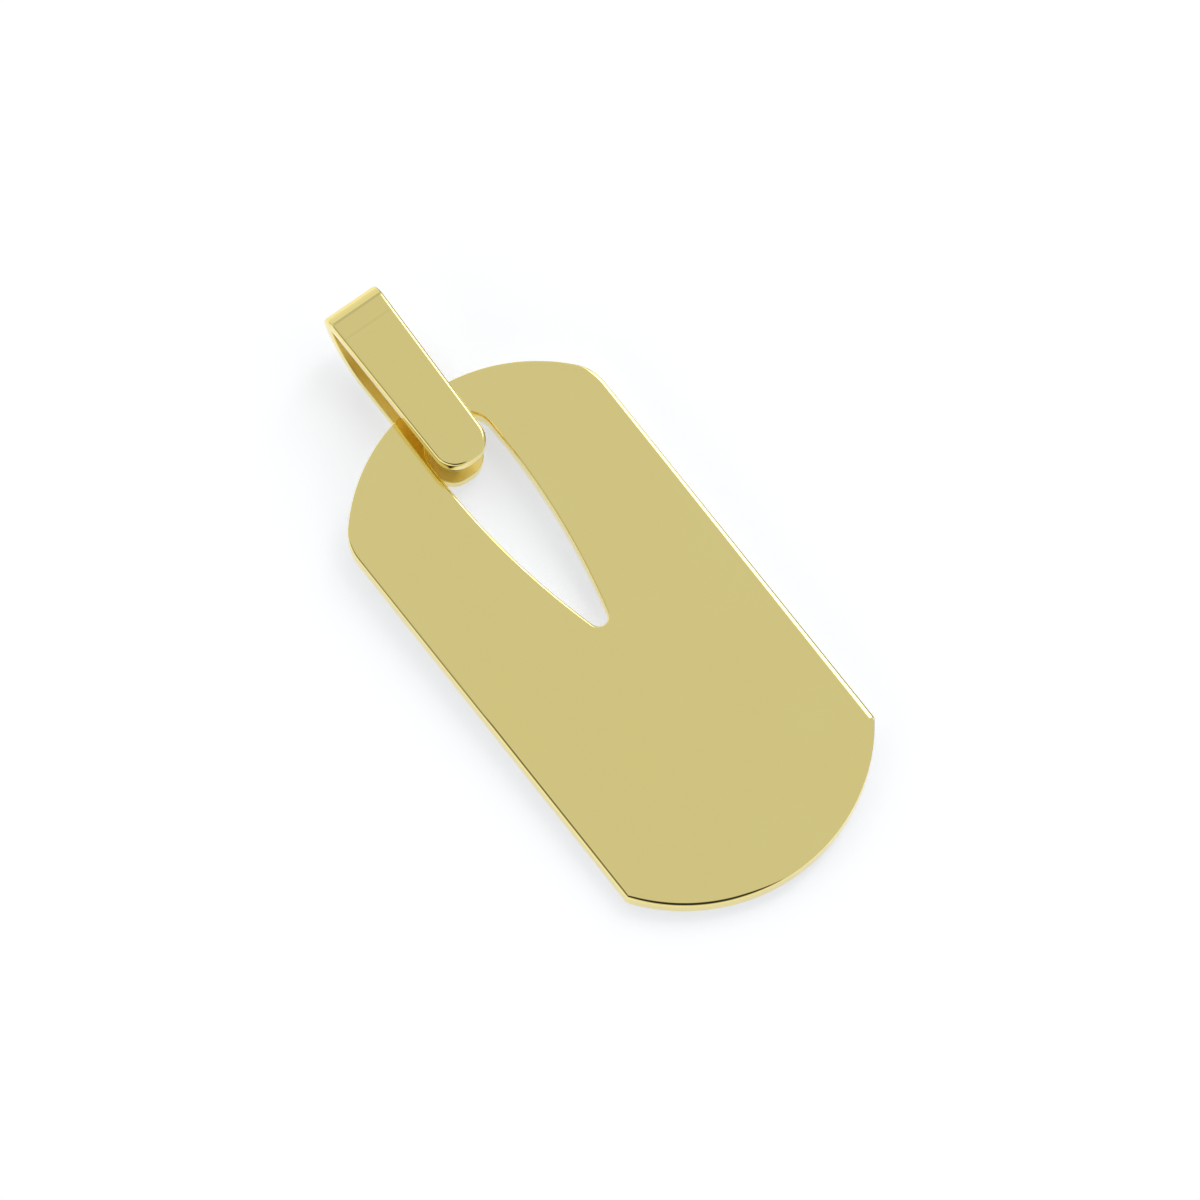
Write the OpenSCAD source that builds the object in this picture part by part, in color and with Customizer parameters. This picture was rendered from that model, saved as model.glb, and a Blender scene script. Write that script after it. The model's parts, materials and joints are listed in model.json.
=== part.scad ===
// Dog tag pendant: a flat tag with bulging ends, hung by its slot in a folded strap.
// It lies on a flat surface. +Z is up, and +Y runs along the tag towards the fold of the strap.
// The origin is on that surface, under the middle of the whole pendant.

/* [Tag] */
// Width across the straight sides
tag_width = 20.4; // [18:0.1:21]
// Length from the crown of one bulging end to the crown of the other
tag_length = 40.6; // [39.8:0.1:44]
// Thickness of the plate
tag_thickness = 1.35; // [1:0.05:1.5]
// Radius of the arc of each bulging end
end_radius = 12.5; // [12:0.1:16]
// Radius of the two softened corners beside the strap
near_corner_radius = 3.2; // [0.5:0.1:3.6]
// Radius of the two crisp corners at the far end
far_corner_radius = 0.4; // [0.2:0.1:2]

/* [Slot] */
// Width at the wide end, under the strap
slot_width = 4.9; // [4.6:0.1:5.4]
// Metal left between the slot's wide end and the crown of the tag
bar_height = 2.1; // [1.8:0.05:3]
// Radius of the corners at the wide end
slot_corner_radius = 2.1; // [1:0.1:2.2]
// Distance from the wide end to where the sides start to draw in
slot_shoulder = 3.5; // [2.5:0.1:5]
// Radius of the narrow tip
slot_tip_radius = 0.66; // [0.4:0.02:1]
// Height of the narrow tip above the middle of the tag
slot_tip_height = 0.65; // [0:0.05:2]

/* [Strap] */
// Thickness of the strip
strap_thickness = 0.95; // [0.7:0.05:1]
// Space between the two legs
leg_gap = 3.15; // [2.2:0.05:3.4]
// Width at the fold
fold_width = 4.16; // [3.8:0.02:4.6]
// Width where the round ends begin
leg_end_width = 3.7; // [3.3:0.02:4]
// Radius of the round ends
leg_end_radius = 1.6; // [1.2:0.05:1.8]
// Distance from the post's axis to the outside of the fold
fold_reach = 11.85; // [10.5:0.05:12]
// Distance from the post's axis to the tip of the front leg
end_reach = 2.05; // [1.9:0.05:2.6]
// Distance from the post's axis to the tip of the back leg, which ends a little sooner
back_end_reach = 1.74; // [1.6:0.02:1.88]
// Thickness of metal at the very end of the fold
fold_wall = 0.9; // [0.7:0.05:1.2]
// Radius inside the fold, where the back leg sweeps up to the front leg
fold_sweep = 4; // [3:0.1:6]
// Radius of the outer edge of the fold
fold_edge_radius = 0.8; // [0.4:0.05:1]
// Diameter of the post soldered between the legs
post_diameter = 1.8; // [1.4:0.1:2.2]

/* [Lie] */
// Height of the post's axis above the middle of the tag
post_along = 16.12; // [16:0.01:16.8]
// Sideways place of the post's axis
post_aside = -0.52; // [-0.6:0.01:0.6]
// Turn of the strap about the post
strap_turn = -1.29; // [-3:0.01:3]
// Clearance between the back leg and the tag's lower face at the slot
lie_gap = 0.15; // [0.12:0.01:0.3]

/* [Hidden] */
$fn = 96;
arc_segments = 360;
gold = [0.83, 0.72, 0.42];
weld = 0.2;
side_overlap = 0.05;

half_width = tag_width / 2;
half_length = tag_length / 2;
end_centre = half_length - end_radius;

slot_top = half_length - bar_height;
slot_half = slot_width / 2;
shoulder_y = slot_top - slot_shoulder;
tip_y = slot_tip_height + slot_tip_radius;
shoulder_drop = shoulder_y - tip_y;
slot_draw = slot_half - slot_tip_radius;
slot_side_radius = (slot_half ^ 2 - slot_tip_radius ^ 2 + shoulder_drop ^ 2) / 2 / slot_draw;

// The tag's far end touches the surface, and its slot clears the back leg by lie_gap.
lean = asin((strap_thickness + lie_gap) / (half_length + slot_top));

strap_height = 2 * strap_thickness + leg_gap;
leg_end_root = leg_end_radius - end_reach;
sweep_run = sqrt(fold_sweep ^ 2 - (fold_sweep - leg_gap) ^ 2);
sweep_y = fold_reach - fold_wall - sweep_run;
sweep_z = strap_thickness + fold_sweep;

// Ends of the whole pendant along Y, measured from the middle of the tag
far_y = -half_length * cos(lean) - tag_thickness * sin(lean);
near_y = post_along + fold_reach * cos(strap_turn) + fold_width / 2 * sin(abs(strap_turn));
middle_y = (far_y + near_y) / 2;

// Height of the centre of a corner of radius r, which blends a straight side into the end arc
function corner_y(r) = end_centre + sqrt((end_radius - r) ^ 2 - (half_width - r) ^ 2);

// Sideways place where that corner meets the end arc
function corner_x(r) = (half_width - r) * end_radius / (end_radius - r);

// Half of the tag's outline, from its middle to one bulging end with corners of radius r
module tag_half(r) {
    intersection() {
        translate([0, end_centre]) circle(end_radius, $fn = arc_segments);
        translate([-corner_x(r), 0]) square([2 * corner_x(r), tag_length]);
    }
    translate([-half_width, 0]) square([tag_width, corner_y(r)]);
    for (side = [-1, 1])
        translate([side * (half_width - r), corner_y(r)]) circle(r);
}

module tag_outline() {
    tag_half(near_corner_radius);
    mirror([0, 1]) tag_half(far_corner_radius);
}

// The narrowing stretch of the slot: two long arcs draw in from the shoulder to a round tip
module slot_taper() {
    side_x = slot_side_radius - slot_half;
    foot_drop = shoulder_drop * slot_side_radius / (slot_side_radius - slot_tip_radius);
    intersection() {
        translate([-side_x, shoulder_y]) circle(slot_side_radius, $fn = 2 * arc_segments);
        translate([side_x, shoulder_y]) circle(slot_side_radius, $fn = 2 * arc_segments);
        translate([-slot_half, shoulder_y - foot_drop]) square([slot_width, foot_drop]);
    }
    translate([0, tip_y]) circle(slot_tip_radius);
}

// The wide end of the slot: straight sides, round corners and a short straight top
module slot_head() {
    corner_centre = slot_top - slot_corner_radius;
    inner_half = slot_half - slot_corner_radius;
    translate([-slot_half, shoulder_y]) square([slot_width, corner_centre - shoulder_y]);
    translate([-inner_half, shoulder_y]) square([2 * inner_half, slot_shoulder]);
    for (side = [-1, 1])
        translate([side * inner_half, corner_centre]) circle(slot_corner_radius);
}

module tag_plate() {
    color(gold)
    translate([0, -middle_y, half_length * sin(lean)])
    rotate([lean, 0, 0])
    linear_extrude(tag_thickness)
    difference() {
        tag_outline();
        slot_head();
        slot_taper();
    }
}

// Side view of the folded strap, with x along the legs towards the fold and y upwards
module strap_side() {
    difference() {
        strap_outer();
        strap_inner();
    }
}

module strap_outer() {
    translate([-end_reach, 0]) square([end_reach + sweep_y, strap_height]);
    intersection() {
        translate([sweep_y, sweep_z]) circle(fold_sweep + strap_thickness, $fn = arc_segments);
        union() {
            translate([sweep_y, 0]) square([fold_reach - sweep_y, strap_height - fold_edge_radius]);
            translate([sweep_y, 0]) square([fold_reach - sweep_y - fold_edge_radius, strap_height]);
            translate([fold_reach - fold_edge_radius, strap_height - fold_edge_radius])
            circle(fold_edge_radius);
        }
    }
}

module strap_inner() {
    translate([-2 * end_reach, strap_thickness]) square([2 * end_reach + sweep_y, leg_gap]);
    intersection() {
        translate([sweep_y, sweep_z]) circle(fold_sweep, $fn = arc_segments);
        translate([sweep_y, strap_thickness]) square([fold_sweep, leg_gap]);
    }
}

// Half of the strap's width at a distance from the post's axis towards the fold
function strap_half(along) = lookup(along, [[leg_end_root, leg_end_width / 2], [fold_reach, fold_width / 2]]);

// Leg seen from above: it narrows from the fold to a round end
module leg_top(reach) {
    end_y = leg_end_radius - reach;
    end_x = strap_half(end_y) - leg_end_radius;
    polygon([
        [fold_width / 2, fold_reach],
        [strap_half(end_y), end_y],
        [-strap_half(end_y), end_y],
        [-fold_width / 2, fold_reach]
    ]);
    translate([-end_x, -reach]) square([2 * end_x, leg_end_radius]);
    for (side = [-1, 1])
        translate([side * end_x, end_y]) circle(leg_end_radius);
}

// What is cut from the longer outline to leave the back leg's own round end.
// The round end is side_overlap wider than the leg each way, so that it crosses the leg's sides.
module back_tip_waste() {
    centre_y = leg_end_radius - back_end_reach;
    centre_x = strap_half(centre_y) + side_overlap - leg_end_radius;
    difference() {
        translate([-fold_width, -2 * end_reach]) square([2 * fold_width, 2 * end_reach + centre_y]);
        translate([-centre_x, -back_end_reach]) square([2 * centre_x, leg_end_radius + weld]);
        for (side = [-1, 1])
            translate([side * centre_x, centre_y]) circle(leg_end_radius);
    }
}

module bail() {
    color(gold)
    translate([post_aside, post_along - middle_y, 0])
    rotate([0, 0, strap_turn]) {
        difference() {
            intersection() {
                translate([-fold_width, 0, 0])
                rotate([90, 0, 90])
                linear_extrude(2 * fold_width)
                strap_side();
                linear_extrude(strap_height) leg_top(end_reach);
            }
            translate([0, 0, -weld]) linear_extrude(strap_thickness + 2 * weld) back_tip_waste();
        }
        translate([0, 0, strap_thickness - weld]) cylinder(h = leg_gap + 2 * weld, d = post_diameter);
    }
}

tag_plate();
bail();
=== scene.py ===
import json
from math import asin, atan2, cos, pi, radians, sin, sqrt

import bmesh
import bpy
from mathutils import Matrix, Vector


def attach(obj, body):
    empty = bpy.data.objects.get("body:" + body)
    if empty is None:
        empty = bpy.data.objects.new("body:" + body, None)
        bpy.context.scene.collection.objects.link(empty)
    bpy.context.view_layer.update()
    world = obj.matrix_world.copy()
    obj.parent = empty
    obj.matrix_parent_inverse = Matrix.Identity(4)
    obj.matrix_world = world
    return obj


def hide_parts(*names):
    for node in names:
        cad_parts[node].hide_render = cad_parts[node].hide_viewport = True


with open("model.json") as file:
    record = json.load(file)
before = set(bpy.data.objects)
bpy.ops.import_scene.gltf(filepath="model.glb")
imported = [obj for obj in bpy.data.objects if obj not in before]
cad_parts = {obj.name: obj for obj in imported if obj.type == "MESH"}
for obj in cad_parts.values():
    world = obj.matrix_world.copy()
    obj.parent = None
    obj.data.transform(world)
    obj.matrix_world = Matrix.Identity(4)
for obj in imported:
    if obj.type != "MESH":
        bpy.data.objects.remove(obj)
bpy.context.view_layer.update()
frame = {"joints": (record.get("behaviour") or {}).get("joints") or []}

HINGE = frame["joints"][0]["pos_m"]
MM = 0.001

# Tag, in millimetres. Its own frame lies in the plate: x across, y towards the strap.
TAG_WIDTH = 20.4
TAG_LENGTH = 40.6
TAG_THICKNESS = 1.35
END_RADIUS = 12.5
NEAR_CORNER_RADIUS = 3.2
FAR_CORNER_RADIUS = 0.4

# Upper rim of the tag: its width at the near and the far end of the sides, on the crisp ends, and on
# the half of the far end that lies towards the camera. Its depth is RIM_DEPTH times its width, but
# never less than END_RIM.
NEAR_RIM = 0.22
FAR_RIM = 0.36
END_RIM = 0.08
CAMERA_END_RIM = 0.36
RIM_DEPTH = 0.55

# Rim of the tag's lower face, at its outline and round its slot
LOWER_RIM = 0.12

# Where that rim widens: how far sideways the outline faces, and how far left of the middle it is
SIDE_FACING = (0.84, 0.98)
CAMERA_END_SPAN = (0.2, 4.2)

# Distance inside the outline at which every section of the plate has a vertex, past the widest rim
TAG_RING = 0.395

# Slot, in the same frame
SLOT_HALF = 2.45
BAR_HEIGHT = 2.1
SLOT_TOP = TAG_LENGTH / 2 - BAR_HEIGHT
SLOT_CORNER_RADIUS = 2.1
SLOT_SHOULDER = 3.5
SHOULDER_Y = SLOT_TOP - SLOT_SHOULDER
SLOT_TIP_RADIUS = 0.66
SLOT_TIP_HEIGHT = 0.65
SLOT_TIP_Y = SLOT_TIP_HEIGHT + SLOT_TIP_RADIUS
SLOT_RIM = 0.14

# Strap: a strip bent in a hairpin, with its side view measured from the post's axis
STRIP_THICKNESS = 0.95
LEG_GAP = 3.15
STRAP_HEIGHT = 2 * STRIP_THICKNESS + LEG_GAP
LEG_END_HALF = 1.85
LEG_END_RADIUS = 1.6
FOLD_HALF = 2.08
END_REACH = 2.05
BACK_END_REACH = 1.74
FOLD_REACH = 11.85
FOLD_WALL = 0.9
FOLD_SWEEP = 4
SWEEP_RUN = sqrt(FOLD_SWEEP**2 - (FOLD_SWEEP - LEG_GAP) ** 2)
SWEEP_RADIUS = FOLD_SWEEP + STRIP_THICKNESS / 2
SWEEP_CENTRE = (FOLD_REACH - FOLD_WALL - SWEEP_RUN, STRIP_THICKNESS + FOLD_SWEEP)
BEND_RADIUS = 0.6
STRAP_OUTER_RIM = 0.2
STRAP_OUTER_DEPTH = 0.2
STRAP_INNER_RIM = 0.1
STRAP_TURN = radians(-1.29)
POST_RADIUS = 0.9
POST_FILLET = 0.22
POST_SUNK = 0.05

# How the tag lies: its far end touches the table, and its slot clears the back leg by LIE_GAP.
# Along the tag, POST_ALONG is the place of the post's axis and MIDDLE_Y that of the frame's origin.
LIE_GAP = 0.15
LEAN = asin((STRIP_THICKNESS + LIE_GAP) / (TAG_LENGTH / 2 + SLOT_TOP))
POST_ALONG = 16.12
MIDDLE_Y = POST_ALONG - HINGE[1] / MM

# Mesh steps on the rims, on the tag, on its slot and on the strap
RIM_STEPS = 8
FACE_STEPS = 4
CROWN_STEPS = 40
NEAR_CORNER_STEPS = 16
SIDE_STEPS = 24
FAR_CORNER_STEPS = 10
SLOT_CORNER_STEPS = 16
SLOT_STRAIGHT_STEPS = 2
SLOT_SIDE_STEPS = 24
SLOT_TIP_STEPS = 10
BEND_STEPS = 14
SWEEP_STEPS = 20
END_STEPS = 14
LEG_STEPS = 12
POST_TURNS = 64
TABLE_TURNS = 96

# Each rim has a line of vertices SUPPORT inside it. Marks nearer than MARK_APART become one, and
# edges that turn by more than SHARP_ANGLE stay sharp.
SUPPORT = 0.03
MARK_APART = 0.0008
SHARP_ANGLE = radians(40)
TINY = 1e-6

# Camera: where it looks on the table, its heading there, and its height angle
LOOK_AT = (1.180, -1.202, 0)
HEADING = (0.60819, 0.79379)
CAMERA_ELEVATION = radians(71)
CAMERA_DISTANCE = 900
SENSOR = 36
VIEW_WIDTH = 78.74


def line(start, end, steps=1):
    """A straight stretch: its length, its steps, and the point and left-hand normal at a distance."""
    start, end = Vector(start), Vector(end)
    along = (end - start).normalized()
    normal = Vector((-along.y, along.x))
    return (end - start).length, steps, lambda d: (start + along * d, normal)


def arc(centre, radius, start, end, steps):
    """A round stretch between two angles, in the same form as line()."""
    centre = Vector(centre)
    turn = 1 if end > start else -1

    def at(d):
        angle = start + turn * d / radius
        out = Vector((cos(angle), sin(angle)))
        return centre + out * radius, out * -turn

    return radius * abs(end - start), steps, at


def path_length(path):
    """The length of a path, which is a list of lines and arcs."""
    return sum(length for length, steps, at in path)


def point_on(path, distance):
    """The point and left-hand normal at a distance along a path."""
    for length, steps, at in path[:-1]:
        if distance <= length:
            return at(distance)
        distance -= length
    return path[-1][2](distance)


def path_marks(path):
    """The places along a path where its steps fall, as shares of its length."""
    marks, done = [], 0
    for length, steps, at in path:
        marks += [done + length * i / steps for i in range(steps)]
        done += length
    return [m / done for m in marks] + [1]


def merged_marks(*paths):
    """The marks of several paths in one list, without near doubles."""
    merged = []
    for mark in sorted(m for path in paths for m in path_marks(path)):
        if not merged or mark - merged[-1] > MARK_APART:
            merged.append(mark)
    merged[-1] = 1
    return merged


def blend_corner(radius):
    """Centre of a corner that blends a straight side into the end arc, and the angle of their meeting."""
    end_centre = TAG_LENGTH / 2 - END_RADIUS
    corner_x = TAG_WIDTH / 2 - radius
    rise = sqrt((END_RADIUS - radius) ** 2 - corner_x**2)
    return corner_x, end_centre + rise, atan2(rise, corner_x)


def tag_side():
    """One side of the tag's outline, clockwise from the crown at the strap to the far crown."""
    end_centre = TAG_LENGTH / 2 - END_RADIUS
    near_x, near_y, near_meeting = blend_corner(NEAR_CORNER_RADIUS)
    far_x, far_y, far_meeting = blend_corner(FAR_CORNER_RADIUS)
    return [
        arc((0, end_centre), END_RADIUS, pi / 2, near_meeting, CROWN_STEPS),
        arc((near_x, near_y), NEAR_CORNER_RADIUS, near_meeting, 0, NEAR_CORNER_STEPS),
        line((TAG_WIDTH / 2, near_y), (TAG_WIDTH / 2, -far_y), SIDE_STEPS),
        arc((far_x, -far_y), FAR_CORNER_RADIUS, 0, -far_meeting, FAR_CORNER_STEPS),
        arc((0, -end_centre), END_RADIUS, -far_meeting, -pi / 2, CROWN_STEPS),
    ]


def slot_side():
    """One side of the slot's outline, clockwise from its wide end to its tip."""
    drop = SHOULDER_Y - SLOT_TIP_Y
    side_radius = (SLOT_HALF**2 - SLOT_TIP_RADIUS**2 + drop**2) / (2 * (SLOT_HALF - SLOT_TIP_RADIUS))
    side_x = side_radius - SLOT_HALF
    meeting = -atan2(drop, side_x)
    inner_half = SLOT_HALF - SLOT_CORNER_RADIUS
    corner_y = SLOT_TOP - SLOT_CORNER_RADIUS
    return [
        line((0, SLOT_TOP), (inner_half, SLOT_TOP)),
        arc((inner_half, corner_y), SLOT_CORNER_RADIUS, pi / 2, 0, SLOT_CORNER_STEPS),
        line((SLOT_HALF, corner_y), (SLOT_HALF, SHOULDER_Y), SLOT_STRAIGHT_STEPS),
        arc((-side_x, SHOULDER_Y), side_radius, 0, meeting, SLOT_SIDE_STEPS),
        arc((0, SLOT_TIP_Y), SLOT_TIP_RADIUS, meeting, -pi / 2, SLOT_TIP_STEPS),
    ]


def rim_profile(thickness, upper_rim, lower_rim):
    """Insets and heights down an edge, from the upper face to the lower one.

    A rim is a quarter of an ellipse: its width on the face and its depth down the edge.
    """
    upper, lower = [(upper_rim[0] + SUPPORT, thickness)], [(lower_rim[0] + SUPPORT, 0)]
    for i in range(RIM_STEPS + 1):
        angle = pi / 2 * i / RIM_STEPS
        inset, drop = 1 - sin(angle), 1 - cos(angle)
        upper.append((upper_rim[0] * inset, thickness - upper_rim[1] * drop))
        lower.append((lower_rim[0] * inset, lower_rim[1] * drop))
    return upper + lower[::-1]


def smooth_step(value, start, end):
    """Goes softly from zero to one while the value goes from start to end."""
    share = min(max((value - start) / (end - start), 0), 1)
    return share * share * (3 - 2 * share)


def tag_rim(x, y, out):
    """Width and depth of the tag's upper rim at a place on its outline.

    It widens along the sides towards the far end. The ends are crisp, apart from the half of the far
    one that lies towards the camera.
    """
    along = smooth_step(y, TAG_LENGTH / 2, -TAG_LENGTH / 2)
    side = smooth_step(abs(out.x), *SIDE_FACING)
    width = END_RIM + (NEAR_RIM + (FAR_RIM - NEAR_RIM) * along - END_RIM) * side
    if y < 0 and x < 0:
        width = max(width, END_RIM + (CAMERA_END_RIM - END_RIM) * smooth_step(-x, *CAMERA_END_SPAN))
    return width, max(width * RIM_DEPTH, END_RIM)


def between(start, end):
    """The points that divide a face between two places, without its ends."""
    return [start.lerp(end, i / FACE_STEPS) for i in range(1, FACE_STEPS)]


def tag_section(outer, inner, mark, side):
    """The closed section of the plate between the places of one mark on its outline and its slot."""
    p, p_out = point_on(outer, mark * path_length(outer))
    q, q_left = point_on(inner, mark * path_length(inner))
    rim = rim_profile(TAG_THICKNESS, tag_rim(side * p.x, p.y, p_out), (LOWER_RIM, LOWER_RIM))
    edge, wall = [], []
    for inset, height in [(TAG_RING, TAG_THICKNESS)] + rim:
        flat = p - p_out * inset
        edge.append(Vector((side * flat.x, flat.y, height)))
    for inset, height in reversed(rim_profile(TAG_THICKNESS, (SLOT_RIM, SLOT_RIM), (LOWER_RIM, LOWER_RIM))):
        flat = q + q_left * inset
        wall.append(Vector((side * flat.x, flat.y, height)))
    return edge + between(edge[-1], wall[0]) + wall + between(wall[-1], edge[0])


def tag_sections():
    """Sections all the way round the slot, clockwise from the crown at the strap."""
    outer, inner = tag_side(), slot_side()
    marks = merged_marks(outer, inner)
    right, left = [[tag_section(outer, inner, mark, side) for mark in marks] for side in (1, -1)]
    return right[:-1] + left[:0:-1]


def lattice(bm, rows):
    """Quads over rows of points that close in both directions."""
    grid = [[bm.verts.new(p * MM) for p in row] for row in rows]
    for row, following in zip(grid, grid[1:] + grid[:1]):
        for i in range(len(row)):
            bm.faces.new((row[i - 1], row[i], following[i], following[i - 1]))


def strap_path():
    """The middle of the strip in side view, from the tip of the front leg to that of the back leg."""
    centre = Vector(SWEEP_CENTRE)
    half = STRIP_THICKNESS / 2
    leg_z = STRAP_HEIGHT - half
    bend_x = FOLD_REACH - BEND_RADIUS - half
    bend_z = leg_z - BEND_RADIUS
    spread = Vector((bend_x, bend_z)) - centre
    reach = SWEEP_RADIUS - BEND_RADIUS
    meet_x = centre.x + sqrt(reach**2 - spread.y**2)
    meeting = atan2(spread.y, meet_x - centre.x)
    return [
        line((-END_REACH, leg_z), (meet_x, leg_z)),
        arc((meet_x, bend_z), BEND_RADIUS, pi / 2, meeting, BEND_STEPS),
        arc(SWEEP_CENTRE, SWEEP_RADIUS, meeting, -pi / 2, SWEEP_STEPS),
        line((centre.x, half), (-BACK_END_REACH, half)),
    ]


def strip_half(path, distance):
    """Half of the strip's width at a distance along it. It narrows from the fold to both ends."""
    point = point_on(path, distance)[0]
    root = LEG_END_RADIUS - END_REACH
    share = (point.x - root) / (FOLD_REACH - root)
    return LEG_END_HALF + (FOLD_HALF - LEG_END_HALF) * share


def tip_edge(half):
    """One edge of a round tip, from its middle to where it is half wide: places and normal."""
    edge = []
    for i in range(END_STEPS + 1):
        angle = pi / 2 * i / END_STEPS
        along = LEG_END_RADIUS * (1 - cos(angle))
        edge.append((along, half - LEG_END_RADIUS * (1 - sin(angle)), -cos(angle), sin(angle)))
    return edge


def strip_edge(path):
    """One edge of the strip laid flat, from tip to tip: places along and across, and the normal."""
    total = path_length(path)
    marks = [m * total for m in path_marks(path)]
    first, last = path[0][0], total - path[-1][0]
    front_root, back_root = LEG_END_RADIUS, total - LEG_END_RADIUS
    front = [front_root + (first - front_root) * i / LEG_STEPS for i in range(1, LEG_STEPS)]
    fold = [m for m in marks if first - TINY <= m <= last + TINY]
    back = [last + (back_root - last) * i / LEG_STEPS for i in range(1, LEG_STEPS)]
    middle = [(place, strip_half(path, place), 0, 1) for place in front + fold + back]
    front_tip = tip_edge(strip_half(path, front_root))
    back_tip = tip_edge(strip_half(path, back_root))
    back_end = [(total - along, across, -out, side) for along, across, out, side in back_tip[::-1]]
    return front_tip + middle + back_end


def strip_rows(bm, path, side):
    """Rows of vertices down one edge of the strip, each from its outer face to its inner one."""
    outer_rim = (STRAP_OUTER_RIM, STRAP_OUTER_DEPTH)
    profile = rim_profile(STRIP_THICKNESS, outer_rim, (STRAP_INNER_RIM, STRAP_INNER_RIM))
    rows = []
    for along, across, n_along, n_across in strip_edge(path):
        row = []
        for inset, height in profile:
            point, normal = point_on(path, along - n_along * inset)
            place = point + normal * (height - STRIP_THICKNESS / 2)
            row.append(bm.verts.new(Vector((side * (across - n_across * inset), place.x, place.y)) * MM))
        rows.append(row)
    return rows


def add_strip(bm):
    """The strip as a closed skin: the rim all the way round it, then its outer and inner faces."""
    path = strap_path()
    right, left = strip_rows(bm, path, 1), strip_rows(bm, path, -1)
    loop = right + left[::-1]
    for row, following in zip(loop, loop[1:] + loop[:1]):
        for i in range(len(row) - 1):
            bm.faces.new((row[i], row[i + 1], following[i + 1], following[i]))
    for i in range(len(right) - 1):
        bm.faces.new((right[i][0], right[i + 1][0], left[i + 1][0], left[i][0]))
        bm.faces.new((right[i][-1], left[i][-1], left[i + 1][-1], right[i + 1][-1]))


def add_post(bm):
    """The round post between the legs, flared where it is soldered to them."""
    low, high = STRIP_THICKNESS, STRAP_HEIGHT - STRIP_THICKNESS
    flare = []
    for i in range(RIM_STEPS + 1):
        angle = pi / 2 * i / RIM_STEPS
        flare.append((POST_RADIUS + POST_FILLET * (1 - sin(angle)), POST_FILLET * (1 - cos(angle))))
    profile = [(POST_RADIUS + POST_FILLET, low - POST_SUNK)]
    profile += [(r, low + z) for r, z in flare]
    profile += [(r, high - z) for r, z in reversed(flare)]
    profile += [(POST_RADIUS + POST_FILLET, high + POST_SUNK)]
    rings = []
    for r, z in profile:
        angles = [2 * pi * i / POST_TURNS for i in range(POST_TURNS)]
        rings.append([bm.verts.new(Vector((r * cos(a), r * sin(a), z)) * MM) for a in angles])
    for ring, following in zip(rings, rings[1:]):
        for i in range(POST_TURNS):
            bm.faces.new((ring[i - 1], ring[i], following[i], following[i - 1]))
    bm.faces.new(rings[0][::-1])
    bm.faces.new(rings[-1])


def finished(bm, name, placing, material, body, node):
    """Turns a bmesh into a piece that stands for a node."""
    bmesh.ops.recalc_face_normals(bm, faces=bm.faces)
    bm.transform(placing)
    mesh = bpy.data.meshes.new(name)
    bm.to_mesh(mesh)
    bm.free()
    mesh.shade_smooth()
    mesh.set_sharp_from_angle(angle=SHARP_ANGLE)
    mesh.materials.append(material)
    piece = bpy.data.objects.new(name, mesh)
    bpy.context.scene.collection.objects.link(piece)
    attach(piece, body)
    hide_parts(node)
    return piece


def make_tag(material):
    """The tag, with its far end on the table and its near end raised over the strap's back leg."""
    bm = bmesh.new()
    lattice(bm, tag_sections())
    lift = TAG_LENGTH / 2 * sin(LEAN)
    placing = Matrix.Translation(Vector((0, -MIDDLE_Y, lift)) * MM) @ Matrix.Rotation(LEAN, 4, "X")
    return finished(bm, "polished_tag", placing, material, "tag", "tag_plate")


def make_bail(material):
    """The folded strap with its post, turned a little about the post's axis."""
    bm = bmesh.new()
    add_strip(bm)
    add_post(bm)
    placing = Matrix.Translation((HINGE[0], HINGE[1], 0)) @ Matrix.Rotation(STRAP_TURN, 4, "Z")
    return finished(bm, "polished_bail", placing, material, "strap", "bail")


class Nodes:
    """A node tree with short calls for adding nodes and links."""

    def __init__(self, tree):
        self.tree = tree
        tree.nodes.clear()

    def add(self, kind, inputs=None, **settings):
        """Adds a node with its settings. An input that is a socket is linked, any other is set."""
        node = self.tree.nodes.new(kind)
        for name, value in settings.items():
            setattr(node, name, value)
        for name, value in (inputs or {}).items():
            socket = node.inputs[name]
            if isinstance(value, bpy.types.NodeSocket):
                self.tree.links.new(value, socket)
            else:
                socket.default_value = value
        return node

    def maths(self, operation, *values):
        """The result of a sum, product or other operation on one to three values."""
        return self.add("ShaderNodeMath", dict(enumerate(values)), operation=operation).outputs[0]

    def ramp(self, value, start, end, low=0.0, high=1.0):
        """Goes softly from low to high while the value goes from start to end."""
        limits = {"Value": value, "From Min": start, "From Max": end, "To Min": low, "To Max": high}
        return self.add("ShaderNodeMapRange", limits, interpolation_type="SMOOTHSTEP").outputs[0]

    def dot(self, vector, direction):
        """How far a vector goes in a direction."""
        node = self.add("ShaderNodeVectorMath", {0: vector, 1: direction}, operation="DOT_PRODUCT")
        return node.outputs["Value"]

    def mix(self, factor, colour, other):
        """Goes from one colour to the other while the factor goes from zero to one."""
        node = self.add("ShaderNodeMix", {"Factor": factor}, data_type="RGBA")
        for socket, value in ((node.inputs[6], colour), (node.inputs[7], other)):
            if isinstance(value, bpy.types.NodeSocket):
                self.tree.links.new(value, socket)
            else:
                socket.default_value = (*value, 1)
        return node.outputs[2]


# Two soft creases across the strap's upper face beside its fold, drawn only as painted shade: place and
# depth of the painted shade of each
PAINTED_CREASES = ((9.6, 0.05), (11.15, 0.08))
PAINTED_CREASE_SOFTNESS = 0.16

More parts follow.
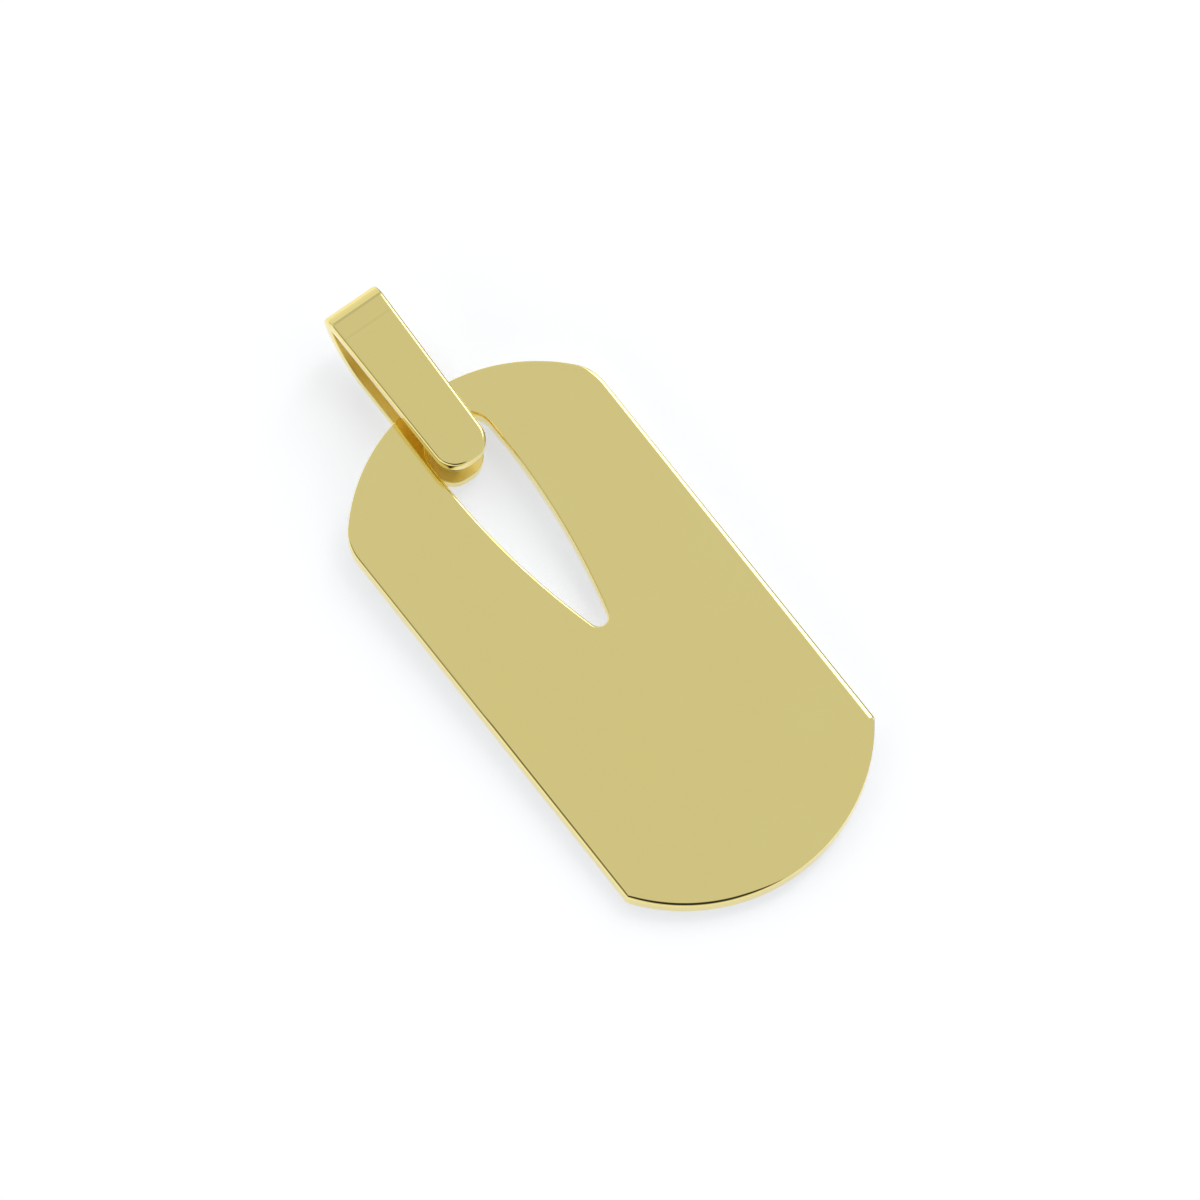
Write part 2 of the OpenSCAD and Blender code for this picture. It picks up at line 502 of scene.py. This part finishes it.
# Painted reflection of shade: a dark line painted along the outermost part of the rims that face right,
# where they would mirror the shadowed table beside them. It is fainter at the tag's near end. It starts
# where a rim has turned right by the tilt below and stops short of the upright wall.
PAINTED_RIM_TILT = radians(28)
PAINTED_RIM_SOFTNESS = radians(8)
PAINTED_RIM_UPRIGHT = (0.05, 0.15)
PAINTED_RIM_DARKNESS = 0.75
PAINTED_RIM_NEAR_SHARE = 0.35
PAINTED_RIM_FADE = (10, -8)
# Colour of the painted shade, on the rims that face right and along the strap's creases
PAINTED_SHADE_COLOUR = (0.12, 0.1, 0.05)

# Light and deep colour of each piece's gold, the clouds in which they mix, and what the table sees
PLATE_GOLD = ((0.945, 0.82, 0.34), (0.95, 0.785, 0.30))
BAIL_GOLD = ((0.935, 0.81, 0.33), (0.94, 0.775, 0.29))
CLOUD_SCALE = 0.16
CLOUD_DETAIL = 3.0
NEUTRAL = (0.62, 0.62, 0.62)

# Polishing grain: its fineness each way, its spread, how rough it leaves the gold, and its depth in mm
GRAIN_STRETCH = (6.0, 0.35, 6.0)
GRAIN_DETAIL = 4.0
GRAIN_SPREAD = (0.3, 0.7)
ROUGHNESS = (0.05, 0.09)
GRAIN_BUMP = 0.03
GRAIN_DEPTH = 0.02

# The strap is satin between its legs, inside its fold and on its post
SATIN = 0.38
SATIN_SUNK = 0.05


def satin_mask(nodes, place):
    """One on the strap's inner faces and on its post, and zero on its polished faces."""
    height = nodes.dot(place, (0.0, 0.0, 1.0))
    along = nodes.maths("SUBTRACT", nodes.dot(place, (0.0, 1.0, 0.0)), HINGE[1])
    above = nodes.maths("GREATER_THAN", height, (STRIP_THICKNESS - SATIN_SUNK) * MM)
    below = nodes.maths("LESS_THAN", height, (STRAP_HEIGHT - STRIP_THICKNESS + SATIN_SUNK) * MM)
    past = nodes.maths("MAXIMUM", nodes.maths("SUBTRACT", along, SWEEP_CENTRE[0] * MM), 0.0)
    under = nodes.maths("SUBTRACT", height, SWEEP_CENTRE[1] * MM)
    squares = nodes.maths("ADD", nodes.maths("POWER", past, 2.0), nodes.maths("POWER", under, 2.0))
    reach = nodes.maths("SQRT", squares)
    inside = nodes.maths("LESS_THAN", reach, (SWEEP_RADIUS - STRIP_THICKNESS / 2 + SATIN_SUNK) * MM)
    return nodes.maths("MULTIPLY", nodes.maths("MULTIPLY", above, below), inside)


def painted_crease_shade(nodes, place):
    """How much painted shade darkens the strap's upper face along the two soft creases beside its fold."""
    level = nodes.dot(place, (-sin(STRAP_TURN), cos(STRAP_TURN), 0.0))
    along = nodes.maths("SUBTRACT", level, HINGE[1])
    painted_shade = 0.0
    for crease, depth in PAINTED_CREASES:
        away = nodes.maths("ABSOLUTE", nodes.maths("SUBTRACT", along, crease * MM))
        painted_shade = nodes.maths("MAXIMUM", nodes.ramp(away, PAINTED_CREASE_SOFTNESS * MM, 0.0, 0.0, depth), painted_shade)
    return painted_shade


def painted_rim_shade(nodes, normal):
    """How much painted shade darkens the outermost part of the rims that face right, where they turn down
    towards the shadowed table that they would mirror.
    """
    aside = nodes.ramp(nodes.dot(normal, (1.0, 0.0, 0.0)), sin(PAINTED_RIM_TILT), sin(PAINTED_RIM_TILT + PAINTED_RIM_SOFTNESS))
    above = nodes.ramp(nodes.dot(normal, (0.0, 0.0, 1.0)), *PAINTED_RIM_UPRIGHT)
    return nodes.maths("MULTIPLY", nodes.maths("MULTIPLY", aside, above), PAINTED_RIM_DARKNESS)


def painted_rim_fade(nodes, place):
    """How much of the painted dark line is left along the tag, from its near end to its far one."""
    start, end = PAINTED_RIM_FADE
    return nodes.ramp(nodes.dot(place, (0.0, 1.0, 0.0)), start * MM, end * MM, PAINTED_RIM_NEAR_SHARE, 1.0)


def polished_gold(name, light, deep, strap):
    """Mirror-polished gold: clouds of colour, fine polishing grain, a barely uneven face, and painted shade
    on the rims that face right and along the strap's creases.

    In the light that it throws on the table it is neutral, so that it leaves no tint there.
    """
    material = bpy.data.materials.new(name)
    material.use_nodes = True
    nodes = Nodes(material.node_tree)
    spots = nodes.add("ShaderNodeTexCoord").outputs
    place = spots["Object"]
    in_mm = nodes.add("ShaderNodeVectorMath", {0: place, "Scale": 1 / MM}, operation="SCALE").outputs[0]
    cloud_look = {"Vector": in_mm, "Scale": CLOUD_SCALE, "Detail": CLOUD_DETAIL}
    clouds = nodes.add("ShaderNodeTexNoise", cloud_look).outputs["Fac"]
    drawn = nodes.add("ShaderNodeVectorMath", {0: in_mm, 1: GRAIN_STRETCH}, operation="MULTIPLY")
    grain_look = {"Vector": drawn.outputs[0], "Scale": 1.0, "Detail": GRAIN_DETAIL}
    grain = nodes.add("ShaderNodeTexNoise", grain_look).outputs["Fac"]
    rough = nodes.ramp(grain, *GRAIN_SPREAD, *ROUGHNESS)
    # Painted shade: a dark line on the rims that face right, and on the strap two soft crease lines
    painted_shade = painted_rim_shade(nodes, spots["Normal"])
    if strap:
        rough = nodes.maths("MAXIMUM", rough, nodes.maths("MULTIPLY", satin_mask(nodes, place), SATIN))
        painted_shade = nodes.maths("MAXIMUM", painted_shade, painted_crease_shade(nodes, place))
    else:
        painted_shade = nodes.maths("MULTIPLY", painted_shade, painted_rim_fade(nodes, place))
    relief = {"Height": grain, "Strength": GRAIN_BUMP, "Distance": GRAIN_DEPTH * MM}
    bump = nodes.add("ShaderNodeBump", relief)
    # The painted shade mixes the gold's colour towards a dark brown
    colour = nodes.mix(painted_shade, nodes.mix(clouds, deep, light), PAINTED_SHADE_COLOUR)
    from_table = nodes.add("ShaderNodeLightPath").outputs["Is Diffuse Ray"]
    shader = nodes.add(
        "ShaderNodeBsdfPrincipled",
        {
            "Base Color": nodes.mix(from_table, colour, NEUTRAL),
            "Metallic": 1.0,
            "Roughness": rough,
            "Normal": bump.outputs[0],
        },
    )
    nodes.add("ShaderNodeOutputMaterial", {"Surface": shader.outputs[0]})
    return material


TABLE_WHITE = (0.86, 0.86, 0.86, 1)
TABLE_GLOW = (0.985, 0.995, 1.0, 1)
GLOW = 0.445
TABLE_RADIUS = 1.6


def make_table():
    """The white table under the pendant, lit from below like a photographer's light table."""
    material = bpy.data.materials.new("table_white")
    material.use_nodes = True
    nodes = Nodes(material.node_tree)
    matt = nodes.add("ShaderNodeBsdfDiffuse", {"Color": TABLE_WHITE})
    glow = nodes.add("ShaderNodeEmission", {"Color": TABLE_GLOW, "Strength": GLOW})
    both = nodes.add("ShaderNodeAddShader", {0: matt.outputs[0], 1: glow.outputs[0]})
    nodes.add("ShaderNodeOutputMaterial", {"Surface": both.outputs[0]})
    bm = bmesh.new()
    bmesh.ops.create_circle(bm, cap_ends=True, segments=TABLE_TURNS, radius=TABLE_RADIUS)
    mesh = bpy.data.meshes.new("table")
    bm.to_mesh(mesh)
    bm.free()
    mesh.materials.append(material)
    table = bpy.data.objects.new("table", mesh)
    bpy.context.scene.collection.objects.link(table)


def sky_direction(around, elevation):
    """A direction in the sky: around is counted anticlockwise from the camera's right."""
    forward = Vector((*HEADING, 0)).normalized()
    right = Vector((forward.y, -forward.x, 0))
    level = right * cos(radians(around)) + forward * sin(radians(around))
    return level * cos(radians(elevation)) + Vector((0, 0, sin(radians(elevation))))


# Sky: how bright it is, and patches that add or take light: around, elevation, radius, softness, light
SKY_TINT = (0.97, 0.985, 1.0, 1)
SKY_LIGHT = 0.685
SKY_PATCHES = (
    (115, 12, 36, 6, 0.2),
    (108, 55, 8, 4, -0.12),
    (68, 61, 6, 1.5, 2.4),
    (215, 15, 35, 10, 0.3),
)

# Dark shapes on the camera's left and behind it: around, elevation, radius, softness, depth
DARK_SHAPES = (
    (196, 50, 14, 3, 0.8),
    (238, 50, 16, 3, 0.92),
    (277, 52, 23, 3, 0.95),
)

# The tall bright window, in degrees: around, half width and its softness, its lower and upper ends
# and theirs. WINDOW_AHEAD keeps it to its own side of the sky, and WINDOW_LIGHT is what it adds.
WINDOW_AROUND = 56
WINDOW_HALF = 6
WINDOW_SOFTNESS = 1.5
WINDOW_LOW = 24
WINDOW_TOP = 60
WINDOW_END_SOFTNESS = 2
WINDOW_AHEAD = 0.1
WINDOW_LIGHT = 2.4


def sky_disc(nodes, view, around, elevation, radius, softness):
    """One inside a round patch of the sky, falling softly to zero at its edge."""
    facing = nodes.dot(view, sky_direction(around, elevation))
    return nodes.ramp(facing, cos(radians(radius + softness)), cos(radians(radius - softness)))


def end_heights(elevation, softness):
    """The heights between which an end of the window fades, going up or, if softness is negative, down."""
    return sin(radians(elevation - softness)), sin(radians(elevation + softness))


def window_mask(nodes, view):
    """One inside the tall window, which stands upright on the right behind the pendant."""
    aside = nodes.maths("ABSOLUTE", nodes.dot(view, sky_direction(WINDOW_AROUND + 90, 0)))
    edge_out = sin(radians(WINDOW_HALF + WINDOW_SOFTNESS))
    edge_in = sin(radians(WINDOW_HALF - WINDOW_SOFTNESS))
    upright = nodes.ramp(aside, edge_out, edge_in)
    ahead = nodes.ramp(nodes.dot(view, sky_direction(WINDOW_AROUND, 0)), 0.0, WINDOW_AHEAD)
    height = nodes.dot(view, (0.0, 0.0, 1.0))
    above = nodes.ramp(height, *end_heights(WINDOW_LOW, WINDOW_END_SOFTNESS))
    below = nodes.ramp(height, *end_heights(WINDOW_TOP, -WINDOW_END_SOFTNESS))
    tall = nodes.maths("MULTIPLY", above, below)
    return nodes.maths("MULTIPLY", nodes.maths("MULTIPLY", upright, ahead), tall)


def light_sky():
    """A soft studio dome with a tall bright window on the right and dark shapes round the camera.

    The camera itself sees plain white there.
    """
    world = bpy.data.worlds.new("studio")
    world.use_nodes = True
    bpy.context.scene.world = world
    nodes = Nodes(world.node_tree)
    view = nodes.add("ShaderNodeTexCoord").outputs["Generated"]
    total = SKY_LIGHT
    for around, elevation, radius, softness, light in SKY_PATCHES:
        patch = sky_disc(nodes, view, around, elevation, radius, softness)
        total = nodes.maths("MULTIPLY_ADD", patch, light, total)
    dark = 0.0
    for around, elevation, radius, softness, depth in DARK_SHAPES:
        shape = sky_disc(nodes, view, around, elevation, radius, softness)
        dark = nodes.maths("MAXIMUM", nodes.maths("MULTIPLY", shape, depth), dark)
    total = nodes.maths("MULTIPLY", total, nodes.maths("SUBTRACT", 1.0, dark))
    total = nodes.maths("MULTIPLY_ADD", window_mask(nodes, view), WINDOW_LIGHT, total)
    seen = nodes.add("ShaderNodeLightPath").outputs["Is Camera Ray"]
    shown = nodes.add("ShaderNodeMix", {"Factor": seen, "A": total, "B": 1.0}, data_type="FLOAT")
    background = nodes.add("ShaderNodeBackground", {"Color": SKY_TINT, "Strength": shown.outputs[0]})
    nodes.add("ShaderNodeOutputWorld", {"Surface": background.outputs[0]})


def make_camera():
    """The camera, which looks down on the table from far away."""
    heading = Vector((*HEADING, 0)).normalized()
    view = heading * cos(CAMERA_ELEVATION) - Vector((0, 0, sin(CAMERA_ELEVATION)))
    data = bpy.data.cameras.new("camera")
    data.sensor_width = SENSOR
    data.lens = SENSOR * CAMERA_DISTANCE / VIEW_WIDTH
    camera = bpy.data.objects.new("camera", data)
    camera.location = (Vector(LOOK_AT) - view * CAMERA_DISTANCE) * MM
    camera.rotation_euler = view.to_track_quat("-Z", "Y").to_euler()
    bpy.context.scene.collection.objects.link(camera)
    bpy.context.scene.camera = camera


MIRROR_BOUNCES = 12

make_camera()
light_sky()
make_table()
make_tag(polished_gold("plate_gold", *PLATE_GOLD, strap=False))
make_bail(polished_gold("bail_gold", *BAIL_GOLD, strap=True))
bpy.context.scene.view_settings.view_transform = "Standard"
bpy.context.scene.cycles.glossy_bounces = MIRROR_BOUNCES
